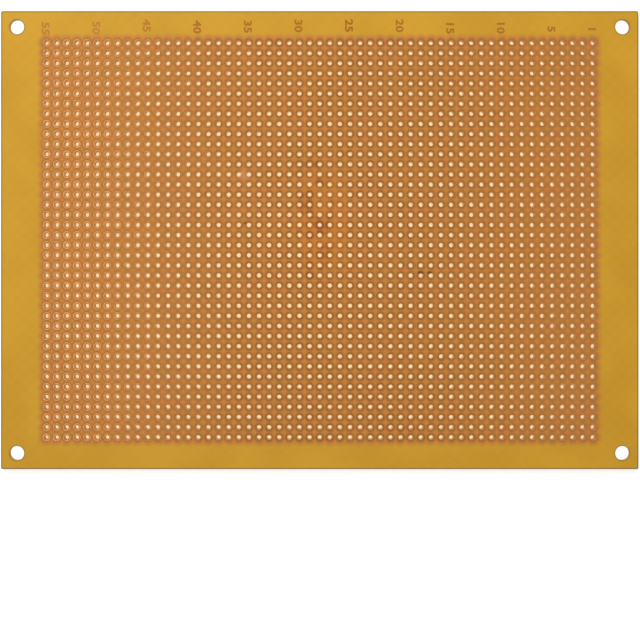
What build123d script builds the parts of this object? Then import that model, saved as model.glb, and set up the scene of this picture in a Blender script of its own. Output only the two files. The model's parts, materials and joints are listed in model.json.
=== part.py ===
"""Prototype board: a single-sided copper-clad laminate with a grid of drilled round pads.

The board lies copper side up. The origin is the middle of its underside, +X runs along the
long edge, +Y across the board towards the edge with the column numbers, and +Z is up.
Lengths are in millimetres.
"""

import os

from build123d import *

# Hole grid
pitch = 2.54
columns = 55
rows = 40
hole_diameter = 1.0

# Laminate sheet
board_thickness = 1.6
end_margin = 11.42  # from the first or last column of holes to the short edge
side_margin = 7.97  # from the first or last row of holes to the long edge
corner_radius = 0.4

# Copper foil, etched into one round pad for each hole
foil_thickness = 0.035
pad_gap = 0.54  # bare laminate between neighbouring pads

# Screw holes in the four corners
mount_hole_diameter = 3.6
mount_inset = 4.0  # from the centre of a screw hole to both edges of its corner

# How much of the grid is cut: this many rows along each long edge, with these flats to a hole
rows_cut = 1
hole_sides = 8

board_length = (columns - 1) * pitch + 2 * end_margin
board_width = (rows - 1) * pitch + 2 * side_margin
pad_diameter = pitch - pad_gap
edge_rows_y = (rows - rows_cut) / 2 * pitch  # middle of the cut rows at each long edge


def edge_rows(side):
    """Hole places of the cut rows along the long edge on the +Y side (1) or the -Y side (-1)."""
    return [Pos(0, side * edge_rows_y) * place for place in GridLocations(pitch, pitch, columns, rows_cut)]


def hole_outline():
    """Outline of a drilled hole. Its flats touch the drill's circle, so a lead still fits."""
    return RegularPolygon(hole_diameter / 2, hole_sides, major_radius=False)


def board():
    """Laminate sheet with rounded corners, screw holes and the drilled rows."""
    mount_spacing_x = board_length - 2 * mount_inset
    mount_spacing_y = board_width - 2 * mount_inset
    mounts = GridLocations(mount_spacing_x, mount_spacing_y, 2, 2)
    outline = Sketch() + RectangleRounded(board_length, board_width, corner_radius)
    outline -= [place * Circle(mount_hole_diameter / 2) for place in mounts]
    outline -= [place * hole_outline() for side in (1, -1) for place in edge_rows(side)]
    return extrude(outline, board_thickness)


def pad():
    """One copper pad with its hole, standing on z = 0."""
    return extrude(RegularPolygon(pad_diameter / 2, hole_sides) - hole_outline(), foil_thickness)


def pad_rows(side):
    """Pads of the cut rows along one long edge, face to face with the copper side of the sheet."""
    one_pad = pad()
    return Compound(children=[Pos(0, 0, board_thickness) * place * one_pad for place in edge_rows(side)])


sub_parts = {
    "board": board(),
    "copper_pads_top_row": pad_rows(1),
    "copper_pads_bottom_row": pad_rows(-1),
}

os.makedirs("parts", exist_ok=True)
for node, shape in sub_parts.items():
    export_step(shape, f"parts/{node}.step")
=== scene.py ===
# %% [markdown]
# # A prototype board, seen from its copper side
#
# The object is one flat sheet of ochre glass-and-epoxy laminate, 1.6 mm thick, with 2200 drilled
# holes on a 2.54 mm grid and a round pad of thin copper foil around each. A few numbers etched
# from the same foil count the columns along one long edge.
#
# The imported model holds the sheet's outline, its screw holes and the first and last row of the
# grid. This lesson makes the whole grid from those, then the finishes, the light and the camera.

# %% Load the frame
import json
import math

import bmesh
import bpy
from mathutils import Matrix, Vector
from mathutils.geometry import delaunay_2d_cdt


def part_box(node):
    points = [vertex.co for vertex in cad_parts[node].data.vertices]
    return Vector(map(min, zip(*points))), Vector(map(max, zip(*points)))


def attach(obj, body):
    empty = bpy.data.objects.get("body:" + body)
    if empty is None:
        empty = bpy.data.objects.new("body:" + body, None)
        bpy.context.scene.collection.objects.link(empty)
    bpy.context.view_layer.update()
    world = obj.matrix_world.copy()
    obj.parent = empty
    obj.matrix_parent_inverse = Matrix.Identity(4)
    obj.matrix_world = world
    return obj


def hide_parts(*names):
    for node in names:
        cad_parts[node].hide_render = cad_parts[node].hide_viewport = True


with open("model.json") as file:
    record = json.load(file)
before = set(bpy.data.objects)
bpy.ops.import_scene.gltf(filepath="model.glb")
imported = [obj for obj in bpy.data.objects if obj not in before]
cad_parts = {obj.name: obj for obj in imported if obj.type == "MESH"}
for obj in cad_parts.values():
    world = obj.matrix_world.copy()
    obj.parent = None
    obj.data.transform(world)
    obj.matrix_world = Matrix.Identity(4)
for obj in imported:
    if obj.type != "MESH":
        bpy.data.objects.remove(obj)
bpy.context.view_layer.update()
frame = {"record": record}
MM = 0.001
sheet_low, sheet_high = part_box("board")
pads_low, pads_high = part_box("copper_pads_top_row")
print("sheet, mm:", [round(side / MM, 3) for side in sheet_high - sheet_low])

# %% [markdown]
# ## The hole grid
#
# Everything on this board follows the grid, so its numbers come first. The pitch is the standard
# 2.54 mm. The first row's box gives the pad size and the number of columns, and the rows lie
# between the middles of the first and the last row.

# %% Read the grid from the frame
pitch = 2.54 * MM
hole_radius = 0.5 * MM
pad_radius = (pads_high.y - pads_low.y) / 2
columns = round((pads_high.x - pads_low.x - 2 * pad_radius) / pitch) + 1
first_row_y = (pads_high.y + pads_low.y) / 2
rows = round(2 * first_row_y / pitch) + 1
column_x = [(column - (columns - 1) / 2) * pitch for column in range(columns)]
row_y = [((rows - 1) / 2 - row) * pitch for row in range(rows)]
print("grid:", columns, "by", rows, "holes, pad", round(2 * pad_radius / MM, 2), "mm")

# %% Read the screw holes from the record
screw = next(m for m in frame["record"]["mounts"] if m["name"] == "corner_screw_holes")["dims"]
screw_radius = screw["hole_r_mm"] * MM
screw_x = screw["spacing_x_mm"] * MM / 2
screw_y = screw["spacing_y_mm"] * MM / 2
screw_places = [(sx * screw_x, sy * screw_y) for sx in (-1, 1) for sy in (-1, 1)]
print("screw holes:", len(screw_places), "of", 2 * screw["hole_r_mm"], "mm")

# %% [markdown]
# ## The laminate sheet
#
# The real sheet is sawn or routed from a larger one and drilled through. A Boolean for each of
# 2204 holes would take minutes. A flat sheet with holes is simpler: lay out the outline and the
# circles, let a constrained Delaunay triangulation fill the face between them, and give it a
# second face below with a wall along each loop. That stays closed and takes a second.

# %% Loops: a circle and the sheet's rounded outline
hole_segments = 20
screw_segments = 48
corner_radius = 0.4 * MM
corner_segments = 6


def circle(x, y, radius, segments):
    """Points of a circle, anticlockwise."""
    turns = [2 * math.pi * (step + 0.5) / segments for step in range(segments)]
    return [(x + radius * math.cos(a), y + radius * math.sin(a)) for a in turns]


def rounded_outline(low, high, radius, segments):
    """Points of a rectangle with rounded corners, anticlockwise from the corner at +X, +Y."""
    points = []
    middles = [(high.x, high.y), (low.x, high.y), (low.x, low.y), (high.x, low.y)]
    for corner, (x, y) in enumerate(middles):
        cx = x - math.copysign(radius, x)
        cy = y - math.copysign(radius, y)
        for step in range(segments + 1):
            angle = math.pi / 2 * (corner + step / segments)
            points.append((cx + radius * math.cos(angle), cy + radius * math.sin(angle)))
    return points


# %% A piece that rides on the board
def add_piece(name, verts, faces, replaced=()):
    """A mesh object that rides on the board and takes its place in the frame."""
    mesh = bpy.data.meshes.new(name)
    mesh.from_pydata(verts, [], faces)
    mesh.update()
    piece = bpy.data.objects.new(name, mesh)
    bpy.context.scene.collection.objects.link(piece)
    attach(piece, "root")
    if replaced:
        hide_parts(*replaced)
    print(name, "has", sum(len(face) - 2 for face in faces), "triangles")
    return piece


# %% A flat plate with holes
inside_the_loops = 1  # the kind of triangulation that leaves out what lies outside them
one_point = 1e-9  # points that are nearer than this, in metres, count as one


def fills_a_hole(loops):
    """A triangle whose corners all lie on one hole covers that hole. Loop 0 is the outline."""
    return loops[0] != 0 and len(set(loops)) == 1


def plate(name, outline, holes, bottom, top, replaced=()):
    """A closed plate between two heights, with a wall along its outline and along each hole."""
    loops = [outline] + [hole[::-1] for hole in holes]
    points = [Vector(point) for loop in loops for point in loop]
    loop_of = [number for number, loop in enumerate(loops) for _ in loop]
    edges = []
    for loop in loops:
        start = len(edges)
        edges += [(start + k, start + (k + 1) % len(loop)) for k in range(len(loop))]
    filled = delaunay_2d_cdt(points, edges, [], inside_the_loops, one_point)
    flat = filled[0]
    triangles = filled[2]
    count = len(flat)
    assert count == len(points), "two loops touch"
    kept = [t for t in triangles if not fills_a_hole([loop_of[v] for v in t])]
    verts = [(p.x, p.y, top) for p in flat] + [(p.x, p.y, bottom) for p in flat]
    faces = [tuple(t) for t in kept]
    faces += [tuple(count + v for v in reversed(t)) for t in kept]
    faces += [(b, a, a + count, b + count) for a, b in edges]
    return add_piece(name, verts, faces, replaced)


# %% Make the sheet
outline = rounded_outline(sheet_low, sheet_high, corner_radius, corner_segments)
holes = [circle(x, y, screw_radius, screw_segments) for x, y in screw_places]
holes += [circle(x, y, hole_radius, hole_segments) for y in row_y for x in column_x]
sheet = plate("laminate_sheet", outline, holes, sheet_low.z, sheet_high.z, ["board"])

# %% [markdown]
# ## The copper pads
#
# Each pad is what the etching bath left of a foil 0.035 mm thick. The acid also eats sideways, so
# the outer flank slopes, and the drill turns the foil's inner edge over a little. Four circles
# give that section, and walls between them close the ring. The ring is worked out once and
# copied to every hole. Two pieces hold the upper and the lower half of the grid, because one
# would be a very heavy mesh.

# %% One pad's section
pad_segments = 20
etch_slope = 0.035 * MM
drill_slope = 0.03 * MM
foil_bottom = sheet_high.z
foil_top = pads_high.z


def pad_section():
    """Radius and height of the four circles that a pad's walls run between."""
    return [
        (hole_radius, foil_bottom),
        (hole_radius + drill_slope, foil_top),
        (pad_radius - etch_slope, foil_top),
        (pad_radius, foil_bottom),
    ]


# %% The pads of some rows
def ring_walls(levels):
    """The faces of one pad, as numbers of the points on its circles."""
    walls = []
    for level in range(levels):
        here = level * pad_segments
        there = (level + 1) % levels * pad_segments
        for k in range(pad_segments):
            n = (k + 1) % pad_segments
            walls.append((there + k, there + n, here + n, here + k))
    return walls


def pads(name, ys, replaced):
    """All the pads of some rows, as one piece."""
    section = pad_section()
    ring = [(x, y, z) for radius, z in section for x, y in circle(0, 0, radius, pad_segments)]
    walls = ring_walls(len(section))
    verts = []
    faces = []
    for y in ys:
        for x in column_x:
            start = len(verts)
            verts += [(x + vx, y + vy, vz) for vx, vy, vz in ring]
            faces += [tuple(start + v for v in wall) for wall in walls]
    return add_piece(name, verts, faces, replaced)


# %% Copy it to the grid
half = rows // 2
upper_pads = pads("copper_pads_upper_rows", row_y[:half], ["copper_pads_top_row"])
lower_pads = pads("copper_pads_lower_rows", row_y[half:], ["copper_pads_bottom_row"])

# %% [markdown]
# ## The column numbers
#
# Numbers etched from the same foil stand beside every fifth column, turned so that they read from
# the edge towards the pads. A text object gives them real outlines, and the mesh that it is
# turned into is as thick as the foil. Its strokes are thinner than the etched ones, so each wall
# then moves outwards. The text's own offset would do that too, but it turns the small opening of
# the 4 inside out, at an edge of a few thousandths of a millimetre. On the real board the numbers
# aren't quite in line: six of them stand a little nearer to the pads.

# %% Where the numbers stand
counted = [1] + list(range(5, columns + 1, 5))
number_end_y = 52.18 * MM  # where each number stops, short of the first row
nearer_pads = {55: 0.7, 50: 0.5, 40: 0.3, 35: 0.25, 15: 0.45, 10: 0.35}  # millimetres
number_lead_x = -0.38 * MM  # the numbers stand a little to the -X side of their columns
print("numbers:", counted)

# %% One number's text
digit_height = 1.85 * MM
digit_share = 0.7  # of the type's size
digit_stretch = 1.22  # along the line of reading
digit_spacing = 1.05
curve_steps = 3


def number_text(number):
    """A column's number as a text object. Columns are counted from the +X end."""
    text = bpy.data.curves.new(f"column_{number}", "FONT")
    text.body = str(number)
    text.size = digit_height / digit_share
    text.align_x = "RIGHT"
    text.align_y = "CENTER"
    text.extrude = (foil_top - foil_bottom) / 2
    text.space_character = digit_spacing
    text.resolution_u = curve_steps
    shown = bpy.data.objects.new(text.name, text)
    x = column_x[columns - number] + number_lead_x
    y = number_end_y - nearer_pads.get(number, 0.0) * MM
    shown.location = (x, y, (foil_top + foil_bottom) / 2)
    shown.rotation_euler = (0, 0, -math.pi / 2)
    shown.scale = (digit_stretch, 1, 1)
    bpy.context.scene.collection.objects.link(shown)
    return shown


# %% Move its walls outwards
digit_boldness = 0.075 * MM
shortest_edge = 0.01 * MM
sharpest_corner = 0.3
upright = 0.5  # a wall's normal has less Z than this
in_line = 0.999  # two walls whose normals agree better than this face one way


def wall_normals(vert):
    """The directions that the walls on either side of a point face."""
    normals = []
    for face in vert.link_faces:
        if abs(face.normal.z) < upright and all(face.normal.dot(n) < in_line for n in normals):
            normals.append(face.normal.copy())
    return normals[0], normals[-1]


def embolden(mesh):
    """Moves each wall of a text's mesh outwards, after merging the points of its shortest edges."""
    shape = bmesh.new()
    shape.from_mesh(mesh)
    bmesh.ops.remove_doubles(shape, verts=shape.verts, dist=shortest_edge)
    shape.normal_update()
    moves = []
    for vert in shape.verts:
        one, other = wall_normals(vert)
        moves.append((one + other) * digit_boldness / max(1 + one.dot(other), sharpest_corner))
    for vert, move in zip(shape.verts, moves):
        vert.co += move
    shape.to_mesh(mesh)
    shape.free()


# %% Etch the numbers
def etched_numbers():
    """All the numbers as one piece."""
    texts = [number_text(number) for number in counted]
    bpy.context.view_layer.update()
    ready = bpy.context.evaluated_depsgraph_get()
    verts = []
    faces = []
    for text in texts:
        mesh = bpy.data.meshes.new_from_object(text.evaluated_get(ready))
        embolden(mesh)
        start = len(verts)
        verts += [tuple(text.matrix_world @ v.co) for v in mesh.vertices]
        faces += [tuple(start + v for v in polygon.vertices) for polygon in mesh.polygons]
        bpy.data.meshes.remove(mesh)
    for text in texts:
        curve = text.data
        bpy.data.objects.remove(text)
        bpy.data.curves.remove(curve)
    return add_piece("copper_column_numbers", verts, faces)


numbers = etched_numbers()

# %% [markdown]
# ## Shader maths as plain Python
#
# A finish is a small formula on positions and noises. Written node by node it is hard to read, so
# this class wraps a socket: an expression on wrapped sockets adds the Math nodes that work it
# out. One method adds any other kind of node.


# %% The socket wrapper
class Value:
    """A number, colour or vector on its way through a node tree. One without a socket starts it."""

    def __init__(self, tree, socket=None):
        self.tree = tree
        self.socket = socket

    def node(self, kind, settings=None, out=0, **inputs):
        """Adds a node with its settings, then its inputs, and wraps one of its outputs.

        An input goes by its name, with _ for a space, or by its place in the list: i0 is the first.
        """
        added = self.tree.nodes.new(kind)
        for name, value in (settings or {}).items():
            setattr(added, name, value)
        for name, value in inputs.items():
            key = int(name[1:]) if name[1:].isdigit() else name.replace("_", " ")
            self.feed(added.inputs[key], value)
        return Value(self.tree, added.outputs[out])

    def beside(self, out):
        """Another output of the node that this value comes from."""
        return Value(self.tree, self.socket.node.outputs[out])

    def feed(self, target, value):
        """Links a wrapped socket to an input, or writes a plain value on it."""
        if isinstance(value, Value):
            self.tree.links.new(value.socket, target)
        else:
            target.default_value = value

    def maths(self, operation, other=0.0):
        """This value and another one through a Math node."""
        return self.node("ShaderNodeMath", {"operation": operation}, i0=self, i1=other)

    def __add__(self, other):
        return self.maths("ADD", other)

    def __radd__(self, other):
        return self.maths("ADD", other)

    def __sub__(self, other):
        return self.maths("SUBTRACT", other)

    def __rsub__(self, other):
        return self.node("ShaderNodeMath", {"operation": "SUBTRACT"}, i0=other, i1=self)

    def __mul__(self, other):
        return self.maths("MULTIPLY", other)

    def __rmul__(self, other):
        return self.maths("MULTIPLY", other)

    def __truediv__(self, other):
        return self.maths("DIVIDE", other)

    def __rtruediv__(self, other):
        return self.node("ShaderNodeMath", {"operation": "DIVIDE"}, i0=other, i1=self)

    def between(self, low, high):
        """0 below low, 1 above high, and a smooth step between. Swapped ends turn it round."""
        smooth = {"interpolation_type": "SMOOTHSTEP"}
        return self.node("ShaderNodeMapRange", smooth, Value=self, From_Min=low, From_Max=high)

    def mix(self, first, second):
        """Goes from the first colour to the second as this value goes from 0 to 1."""
        settings = {"data_type": "RGBA", "blend_type": "MIX"}
        return self.node("ShaderNodeMix", settings, out=2, i0=self, i6=first, i7=second)


# %% Colours as seen, made linear
def seen(red, green, blue):
    """A colour by its 0 to 255 screen values, as the linear colour that a shader needs.

    The numbers are those of the standard screen curve: straight near black, and a power above.
    """
    screen = [c / 255 for c in (red, green, blue)]
    linear = [c / 12.92 if c <= 0.04045 else ((c + 0.055) / 1.055) ** 2.4 for c in screen]
    return (*linear, 1.0)


# %% A new material, and what its formulas start from
def new_material(name):
    """A material with one Principled shader, and the place on the object to work from."""
    material = bpy.data.materials.new(name)
    material.use_nodes = True
    tree = material.node_tree
    shader = tree.nodes["Principled BSDF"]
    place = Value(tree).node("ShaderNodeTexCoord", out="Object")
    return material, shader, place


def split(vector):
    """The x, y and z of a wrapped vector."""
    x = vector.node("ShaderNodeSeparateXYZ", i0=vector)
    return x, x.beside("Y"), x.beside("Z")


def noise(place, scale, detail, stretch=(1, 1, 1)):
    """Noise from 0 to 1, finer with a larger scale, drawn out along an axis with a small stretch."""
    stretched = place.node("ShaderNodeMapping", i0=place, i3=stretch)
    return place.node("ShaderNodeTexNoise", Vector=stretched, Scale=scale, Detail=detail)


def strongest(masks):
    """The largest of several masks."""
    result = masks[0]
    for mask in masks[1:]:
        result = result.maths("MAXIMUM", mask)
    return result


def length(x, y):
    """How long the arrow is that reaches x across and y up."""
    return (x * x + y * y).maths("SQRT")


# %% [markdown]
# ## Where a point lies on the grid
#
# Three finishes follow the holes: the copper, the laminate round them, with its drilled walls and
# the painted shade just outside each pad, and the shadow of the pads that shows through from the
# back. They all need a point's distance from its nearest hole, and a number that belongs to that
# hole. Folding the coordinates by the pitch gives both. The count stops at the last row and
# column, so beyond them the distance just goes on growing.


# %% The nearest hole, and its own random number
def nearest_hole(place):
    """Distance from the nearest hole's middle in millimetres, and that hole's column and row."""
    x, y, _ = split(place)
    u = x / pitch + (columns - 1) / 2
    v = y / pitch + (rows - 1) / 2
    column = u.maths("ROUND").maths("MAXIMUM", 0.0).maths("MINIMUM", columns - 1.0)
    row = v.maths("ROUND").maths("MAXIMUM", 0.0).maths("MINIMUM", rows - 1.0)
    distance = length((u - column) * (pitch / MM), (v - row) * (pitch / MM))
    return distance, column, row


def hole_chance(column, row):
    """A random number from 0 to 1 that belongs to one hole."""
    hole = column.node("ShaderNodeCombineXYZ", i0=column, i1=row)
    return hole.node("ShaderNodeTexWhiteNoise", {"noise_dimensions": "2D"}, Vector=hole)


# %% [markdown]
# ## Traces of use
#
# The board has been handled. A patch near its middle is a deeper orange, with reddish brown blots
# that gather round its holes, most of all round five of them. There is also a pale smudge, a dark
# speck and two short dark scuffs. They could be painted on an image, but an oval with a soft edge
# that a noise makes ragged needs none, and stays sharp close up. The copper and the laminate both
# take the marks, so a mark runs on across a pad's edge.

# %% Colours of the marks, and how much each hides
PATCH_ORANGE = seen(194, 108, 12)
STAIN = seen(104, 42, 8)
SMUDGE_PALE = seen(214, 158, 122)
SPECK_DARK = seen(70, 34, 6)
patch_share = 0.3
blot_share = 0.52
stained_hole_share = 0.5
smudge_share = 0.28
speck_share = 0.75

# %% Where the marks are: middle x and y, then how far each reaches, all in millimetres
STAINED_PATCH = (0.6, 5.5, 6.4, 14.5)
STAINED_CORE = (-1.2, 5.2, 5.0, 15.5)
STAINED_HOLES = [(-2.54, 11.43), (-2.54, 1.27), (-2.54, -6.35), (-2.54, -8.89), (0.0, -3.81)]
stained_hole_reach = (1.05, 1.05)
SMUDGE = (-19.0, 16.3, 1.9, 1.0)
SPECKS = [(-18.8, 4.3, 0.3, 0.3), (25.3, -8.15, 0.8, 0.42), (27.5, -8.15, 0.7, 0.38)]
print("stained holes:", len(STAINED_HOLES), "and specks:", len(SPECKS))

# %% Lay the marks over a colour
oval_edge = (1.2, 0.7)  # where an oval is gone and where it is full, as a share of its reach
raggedness = 1.2
raggedness_at_holes = 0.4  # of that
blots_round_hole = (1.7, 0.9)  # where they are gone and full, in millimetres from its middle


def oval(x, y, ragged, middle_x, middle_y, reach_x, reach_y):
    """1 inside an oval and 0 outside."""
    u = (x - middle_x * MM) / (reach_x * MM)
    v = (y - middle_y * MM) / (reach_y * MM)
    return (length(u, v) + ragged).between(*oval_edge)


def stain_mask(place, x, y, ragged, distance):
    """Where the reddish brown stain is: blots that gather round holes, and five holes' rims."""
    calm = ragged * raggedness_at_holes
    rims = strongest([oval(x, y, calm, *middle, *stained_hole_reach) for middle in STAINED_HOLES])
    blots = noise(place, scale=330.0, detail=2.0).between(0.48, 0.62)
    gathered = blots * distance.between(*blots_round_hole)
    core = oval(x, y, ragged, *STAINED_CORE)
    return strongest([core * gathered * blot_share, rims * stained_hole_share])


def marked(place, colour, distance):
    """A colour with the marks laid over it."""
    x, y, _ = split(place)
    ragged = (noise(place, scale=700.0, detail=3.0) - 0.5) * raggedness
    patched = (oval(x, y, ragged, *STAINED_PATCH) * patch_share).mix(colour, PATCH_ORANGE)
    stained = stain_mask(place, x, y, ragged, distance).mix(patched, STAIN)
    smudged = (oval(x, y, ragged, *SMUDGE) * smudge_share).mix(stained, SMUDGE_PALE)
    specks = strongest([oval(x, y, 0.0, *speck) for speck in SPECKS])
    return (specks * speck_share).mix(smudged, SPECK_DARK)


# %% [markdown]
# ## The laminate's finish
#
# The resin is ochre and slightly cloudy, with the glass cloth just visible as a fine check. On
# the faces it is glossy with a soft orange peel. Between the pads the bath has left it a mottled
# orange, olive and red, and a painted shade darkens it just outside each pad. The sawn edges show
# the layers of cloth, matt and paler, and beside a cut a painted shade line darkens the face. From
# the back the pads show through as faint discs. Each of these could be a material of its own on
# faces of its own. One material with a mask for each is shorter, and lets one look fade into the
# next.

# %% Colours of the laminate
RESIN = seen(198, 147, 30)
RESIN_DEEP = seen(190, 139, 23)
ORANGE_GROUND = seen(190, 117, 46)
OLIVE_GROUND = seen(174, 117, 43)
RED_GROUND = seen(196, 98, 42)
# painted shade: the laminate just outside each pad, darkened where shade falls at the pad's edge
PAD_EDGE_SHADE = seen(138, 78, 26)
PAD_FROM_BEHIND = seen(160, 104, 30)
SAWN_PALE = seen(202, 172, 104)
SAWN_DARK = seen(130, 106, 50)
# painted shade: a thin dark line on the face beside every cut
CUT_SHADE_LINE = seen(92, 90, 40)
DRILLED_WALL = seen(190, 148, 88)

# %% Bands round each hole: where each is gone and where it is full, in millimetres from the middle
between_pads = (2.7, 1.2)
# the band of painted shade just outside each pad
pad_edge_shade_band = (1.42, 1.05)
disc_behind = (1.08, 0.94)
wall_of_hole = (0.7, 0.6)

# %% Cuts through the sheet, and the painted shade line beside them
# how wide the painted shade line beside a cut is
cut_shade_width = 0.3 * MM
cut_shade_gone = 1.4 * cut_shade_width
cut_shade_full = 0.4 * cut_shade_width
screw_wall = 0.2 * MM
screw_cut_shade_share = 0.6


def from_screw_hole(x, y):
    """Distance from the middle of the nearest screw hole. The four mirror each other."""
    return length(x.maths("ABSOLUTE") - screw_x, y.maths("ABSOLUTE") - screw_y)


def near_cuts(x, y):
    """Where a painted shade line darkens the face: along the outline, and more faintly round screw
    holes.
    """
    across = x.maths("ABSOLUTE").between(sheet_high.x - cut_shade_gone, sheet_high.x - cut_shade_full)
    along = y.maths("ABSOLUTE").between(sheet_high.y - cut_shade_gone, sheet_high.y - cut_shade_full)
    around = from_screw_hole(x, y).between(screw_radius + cut_shade_gone, screw_radius + cut_shade_full)
    return strongest([across, along, around * screw_cut_shade_share])


def inside_hole(x, y, distance):
    """1 on the walls of the grid's holes and the screw holes."""
    in_screw_hole = from_screw_hole(x, y).between(screw_radius + screw_wall, screw_radius)
    return strongest([distance.between(*wall_of_hole), in_screw_hole])


# %% The colour of the two faces
cloth_threads = 1800.0  # radians of the weave's wave in a metre
thread_share = 0.03
red_share = 0.5
# how dark the painted shade just outside each pad is
pad_edge_shade_share = 0.62
disc_share = 0.6
# how dark the painted shade line beside a cut is
cut_shade_share = 0.85


def etched_ground(place):
    """The mottled resin between the pads."""
    olive_to_orange = noise(place, scale=600.0, detail=2.0).between(0.38, 0.62)
    red = noise(place, scale=520.0, detail=1.0).between(0.58, 0.72)
    tint = olive_to_orange.mix(OLIVE_GROUND, ORANGE_GROUND)
    return (red * red_share).mix(tint, RED_GROUND)


def face_colour(place, normal_z, cloud, threads, distance):
    """The copper side with its etched ground, painted shade and marks, and the back with the pads
    behind it.
    """
    x, y, _ = split(place)
    up = normal_z.between(0.0, 0.5)
    down = normal_z.between(0.0, -0.5)
    clear = cloud.between(0.3, 0.7).mix(RESIN_DEEP, RESIN)
    reddened = (distance.between(*between_pads) * up).mix(clear, etched_ground(place))
    # paints shade on the laminate just outside each pad
    pad_edge_shaded = (distance.between(*pad_edge_shade_band) * up * pad_edge_shade_share).mix(reddened, PAD_EDGE_SHADE)
    backed = (distance.between(*disc_behind) * down * disc_share).mix(pad_edge_shaded, PAD_FROM_BEHIND)
    used = up.mix(backed, marked(place, backed, distance))
    checked = (threads * thread_share + thread_share).mix(used, SAWN_PALE)
    # paints a thin shade line along the outline and round the screw holes
    return (near_cuts(x, y) * cut_shade_share).mix(checked, CUT_SHADE_LINE)


# %% Laminate material
ply_stretch = (0.03, 0.03, 1.0)
face_roughness = 0.4
added_by_a_cut = 0.5
peel_depth = 0.02 * MM


def laminate_finish():
    """Ochre resin over glass cloth, with sawn edges."""
    material, shader, place = new_material("ochre_laminate")
    x, y, _ = split(place)
    _, _, normal_z = split(place.node("ShaderNodeNewGeometry", out="Normal"))
    distance, _, _ = nearest_hole(place)
    cloud = noise(place, scale=60.0, detail=3.0)
    threads = (x * cloth_threads).maths("SINE") * (y * cloth_threads).maths("SINE")
    layers = noise(place, scale=9000.0, detail=2.0, stretch=ply_stretch)
    sawn = layers.between(0.35, 0.65).mix(SAWN_DARK, SAWN_PALE)
    cut = inside_hole(x, y, distance).mix(sawn, DRILLED_WALL)
    on_edge = normal_z.maths("ABSOLUTE").between(0.6, 0.3)
    face = face_colour(place, normal_z, cloud, threads, distance)
    place.feed(shader.inputs["Base Color"], on_edge.mix(face, cut))
    roughness = on_edge * added_by_a_cut + cloud * 0.1 + face_roughness
    place.feed(shader.inputs["Roughness"], roughness)
    peel = noise(place, scale=900.0, detail=2.0) + threads * 0.3
    bump = place.node("ShaderNodeBump", Strength=0.15, Distance=peel_depth, Height=peel)
    place.feed(shader.inputs["Normal"], bump)
    shader.inputs["IOR"].default_value = 1.5
    shader.inputs["Specular IOR Level"].default_value = 0.2
    return material


# %% [markdown]
# ## The copper's finish
#
# The foil has a thin lacquer and has darkened unevenly. Every pad has its own tone, a dark ring
# of painted shade round the hole's rim, deeper on some pads than others, a pale painted highlight
# at the hole's edge and a painted shade on its sloping outer flank. A material for each pad would
# be 2200 materials. One material does, because the formula knows which hole it is at and has a
# random number for it. The numbers wear a darker, less metallic version of the same finish.

# %% Colours of the copper
COPPER = seen(186, 120, 48)
COPPER_DULL = seen(162, 102, 34)
NUMBER_COPPER = seen(172, 106, 20)
NUMBER_DULL = seen(158, 97, 14)
# painted shade: the dark ring round each hole's rim on the copper
HOLE_RIM_SHADE = seen(106, 58, 2)
# painted highlight: a pale ring on the copper at the edge of each hole
HOLE_EDGE_HIGHLIGHT = seen(214, 166, 112)
# painted shade: the darker sloping outer flank of each pad
FLANK_SHADE = seen(132, 76, 26)

# %% Rings on each pad, given in the same way
# where the painted shade round each hole's rim lies
rim_shade_from_outside = (1.0, 0.72)
rim_shade_from_inside = (0.54, 0.66)
rough_burr = (0.84, 0.66)
# where the painted highlight at the hole's edge lies
hole_edge_highlight = (0.62, 0.54)
# where the painted shade on each pad's flank lies
flank_shade_from_inside = (0.9, 1.0)
flank_shade_from_outside = (1.2, 1.05)
# how dark the painted rim shade is, and how much more on some pads and in patches
rim_shade_share = 0.22
more_by_pad = 0.35
more_by_patch = 0.4
# how strong the painted highlight at the hole's edge is
hole_edge_highlight_share = 0.9
# how dark the painted shade on each pad's flank is
flank_shade_share = 0.5

# %% Copper material
lacquered_roughness = 0.16
added_by_the_burr = 0.35
grain_depth = 0.02 * MM


def ringed_copper(place, foil, chance, distance):
    """A foil colour with each pad's painted rim shade, hole edge highlight and flank shade over it.
    """
    # paints shade round the hole's rim, a highlight at its edge and shade on the flank
    rim_shade = distance.between(*rim_shade_from_outside) * distance.between(*rim_shade_from_inside)
    patchy = noise(place, scale=900.0, detail=1.0).between(0.35, 0.65)
    rim_shade_depth = chance * more_by_pad + patchy * more_by_patch + rim_shade_share
    rim_shaded = (rim_shade * rim_shade_depth).mix(foil, HOLE_RIM_SHADE)
    hole_edge_highlighted = (distance.between(*hole_edge_highlight) * hole_edge_highlight_share).mix(rim_shaded, HOLE_EDGE_HIGHLIGHT)
    flank_shade = distance.between(*flank_shade_from_inside) * distance.between(*flank_shade_from_outside)
    return (flank_shade * flank_shade_share).mix(hole_edge_highlighted, FLANK_SHADE)


def copper_finish(name, bright, dull, metallic, lacquer):
    """Lacquered copper foil, tarnished a little differently on each pad."""
    material, shader, place = new_material(name)
    distance, column, row = nearest_hole(place)
    chance = hole_chance(column, row)
    cloud = noise(place, scale=90.0, detail=3.0)
    grain = noise(place, scale=2500.0, detail=2.0)
    tone = chance * 0.5 + cloud * 0.5 + grain * 0.6
    foil = tone.between(0.45, 1.25).mix(dull, bright)
    ringed = ringed_copper(place, foil, chance, distance)
    place.feed(shader.inputs["Base Color"], marked(place, ringed, distance))
    rough = distance.between(*rough_burr)
    roughness = rough * added_by_the_burr + cloud * 0.12 + lacquered_roughness
    place.feed(shader.inputs["Roughness"], roughness)
    place.feed(shader.inputs["Coat Weight"], (1.0 - rough) * lacquer)
    shader.inputs["Coat Roughness"].default_value = 0.2
    shader.inputs["Metallic"].default_value = metallic
    shader.inputs["Specular IOR Level"].default_value = 0.15
    bump = place.node("ShaderNodeBump", Strength=0.3, Distance=grain_depth, Height=grain)
    place.feed(shader.inputs["Normal"], bump)
    return material


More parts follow.
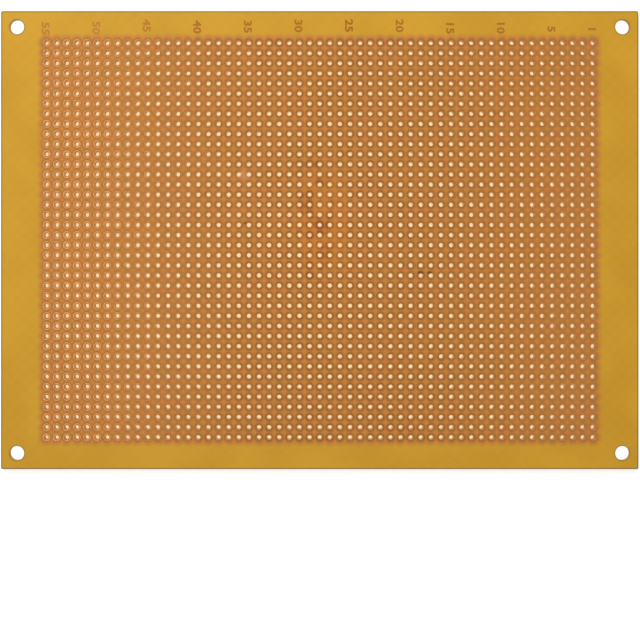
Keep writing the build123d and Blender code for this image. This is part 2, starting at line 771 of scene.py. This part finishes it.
# %% Dress the pieces
pad_copper = copper_finish("pad_copper", COPPER, COPPER_DULL, metallic=0.7, lacquer=0.55)
number_copper = copper_finish("number_copper", NUMBER_COPPER, NUMBER_DULL, metallic=0.15, lacquer=0.1)
sheet.data.materials.append(laminate_finish())
upper_pads.data.materials.append(pad_copper)
lower_pads.data.materials.append(pad_copper)
numbers.data.materials.append(number_copper)
for piece in (sheet, upper_pads, lower_pads, numbers):
    print(piece.name, "wears", piece.data.materials[0].name)

# %% [markdown]
# ## Floor and light
#
# The board lies on a white surface. More lamps would whiten it and bleach the board as well, so
# the floor is bright to the camera and to reflections only, and still takes the board's thin
# contact shadow. Under the grid it glows cream for every ray, a painted pool of the light that
# would pass through the resin, so the holes look cream and that painted light reaches the walls
# of the holes.

# %% Floor
floor_drop = 0.05 * MM
floor_reach = 3.0


def floor_piece():
    """A large white plane just under the board."""
    corners = [(-1, -1), (1, -1), (1, 1), (-1, 1)]
    verts = [(x * floor_reach, y * floor_reach, -floor_drop) for x, y in corners]
    mesh = bpy.data.meshes.new("floor")
    mesh.from_pydata(verts, [], [(0, 1, 2, 3)])
    plane = bpy.data.objects.new("floor", mesh)
    bpy.context.scene.collection.objects.link(plane)
    return plane


floor = floor_piece()
print("floor:", floor_drop / MM, "mm below the board")

# %% What a ray meets on the floor
WHITE = (1.0, 1.0, 1.0, 1.0)
BLACK = (0.0, 0.0, 0.0, 1.0)
soft_border = 0.2 * MM


def in_oblong(place, reach_x, reach_y):
    """1 inside an oblong around the middle and 0 outside it."""
    x, y, _ = split(place)
    across = x.maths("ABSOLUTE").between(reach_x + soft_border, reach_x - soft_border)
    along = y.maths("ABSOLUTE").between(reach_y + soft_border, reach_y - soft_border)
    return across * along


def seen_directly(tree):
    """1 for a ray that comes from the camera, a gloss or a glass, and 0 for one that only lights."""
    camera_ray = Value(tree).node("ShaderNodeLightPath", out="Is Camera Ray")
    others = [camera_ray.beside(f"Is {kind} Ray") for kind in ("Glossy", "Transmission")]
    return strongest([camera_ray, *others])


# %% Floor material
OPEN_FLOOR = (0.8, 0.8, 0.8, 1.0)
OPEN_GLOW = (0.52, 0.52, 0.52, 1.0)
HIDDEN_FLOOR = (0.03, 0.03, 0.03, 1.0)
# painted light: a cream and pink glow under the grid, for the light that would pass through the resin
PAINTED_CREAM_LIGHT = seen(255, 222, 168)
PAINTED_PINK_LIGHT = seen(255, 206, 160)
covered_border = 0.5 * MM  # how far inside the sheet's outline the hidden floor begins


def floor_finish():
    """White and lit. It glows where it is seen directly, and under the board for every ray."""
    material, shader, place = new_material("white_floor")
    covered = in_oblong(place, sheet_high.x - covered_border, sheet_high.y - covered_border)
    under_grid = in_oblong(place, columns * pitch / 2, rows * pitch / 2)
    # a painted pool of cream light under the grid, patched with pink, that every ray sees
    painted_light_under_grid = noise(place, scale=300.0, detail=1.0).between(0.45, 0.7).mix(PAINTED_CREAM_LIGHT, PAINTED_PINK_LIGHT)
    open_glow = seen_directly(place.tree).mix(BLACK, OPEN_GLOW)
    glow = covered.mix(open_glow, under_grid.mix(WHITE, painted_light_under_grid))
    place.feed(shader.inputs["Base Color"], covered.mix(OPEN_FLOOR, HIDDEN_FLOOR))
    place.feed(shader.inputs["Emission Color"], glow)
    shader.inputs["Emission Strength"].default_value = 1.0
    shader.inputs["Roughness"].default_value = 0.9
    return material


floor.data.materials.append(floor_finish())

# %% World: soft grey light, behind a background that looks white
STUDIO_LIGHT = (0.5, 0.5, 0.5, 1.0)
scene = bpy.context.scene
world = bpy.data.worlds.new("studio")
scene.world = world
world.use_nodes = True
background = world.node_tree.nodes["Background"]
seen_ray = seen_directly(world.node_tree)
seen_ray.feed(background.inputs["Color"], seen_ray.mix(STUDIO_LIGHT, WHITE))
background.inputs["Strength"].default_value = 1.0


# %% Lamps, placed and sized in metres
def lamp(name, place, aim, width, height, power):
    """A soft rectangular lamp that points at a spot on the board."""
    data = bpy.data.lights.new(name, "AREA")
    data.shape = "RECTANGLE"
    data.size = width
    data.size_y = height
    data.energy = power
    light = bpy.data.objects.new(name, data)
    light.location = place
    light.rotation_euler = (Vector(aim) - Vector(place)).to_track_quat("-Z", "Y").to_euler()
    scene.collection.objects.link(light)
    print(name, "gives", power, "W")


lamp("main_lamp", (-0.17, 0.5, 0.5), (0, 0, 0), width=0.3, height=0.3, power=3.7)
lamp("left_strip", (-0.175, 0.0, 0.75), (-0.175, 0, 0), width=0.11, height=0.36, power=0.52)
lamp("right_strip", (0.175, 0.0, 0.75), (0.175, 0, 0), width=0.11, height=0.36, power=0.2)

# %% [markdown]
# ## The camera
#
# The photograph looks straight down on the board, from nearly half a metre. The walls of its
# holes show that: near the ends of the board one side of each comes into view. The frame is
# square, and the board fills its width near the top. Tilting the camera would turn the board into
# a trapezium, so the lens is shifted instead.

# %% Camera
photo_side = 640.0
photo_pitch = 10.118  # pixels from hole to hole
photo_centre_x = 319.7  # the board's middle, in pixels from the top left corner
photo_centre_y = 240.1
camera_height = 0.47
sensor_width = 36.0
pixels_per_metre = photo_pitch / pitch
camera_data = bpy.data.cameras.new("camera")
camera_data.sensor_width = sensor_width
camera_data.lens = sensor_width * pixels_per_metre * (camera_height - foil_top) / photo_side
camera_data.shift_x = (photo_side / 2 - photo_centre_x) / photo_side
camera_data.shift_y = (photo_centre_y - photo_side / 2) / photo_side
camera_data.clip_start = 0.01
camera = bpy.data.objects.new("camera", camera_data)
camera.location = (0, 0, camera_height)
scene.collection.objects.link(camera)
scene.camera = camera
print("lens, mm:", round(camera_data.lens, 1))

# %% [markdown]
# ## The last settings
#
# Blender's usual view softens bright colours, like film. Standard shows each colour as it is
# written, which is what a match with a photograph needs.

# %% Finish
scene.view_settings.view_transform = "Standard"
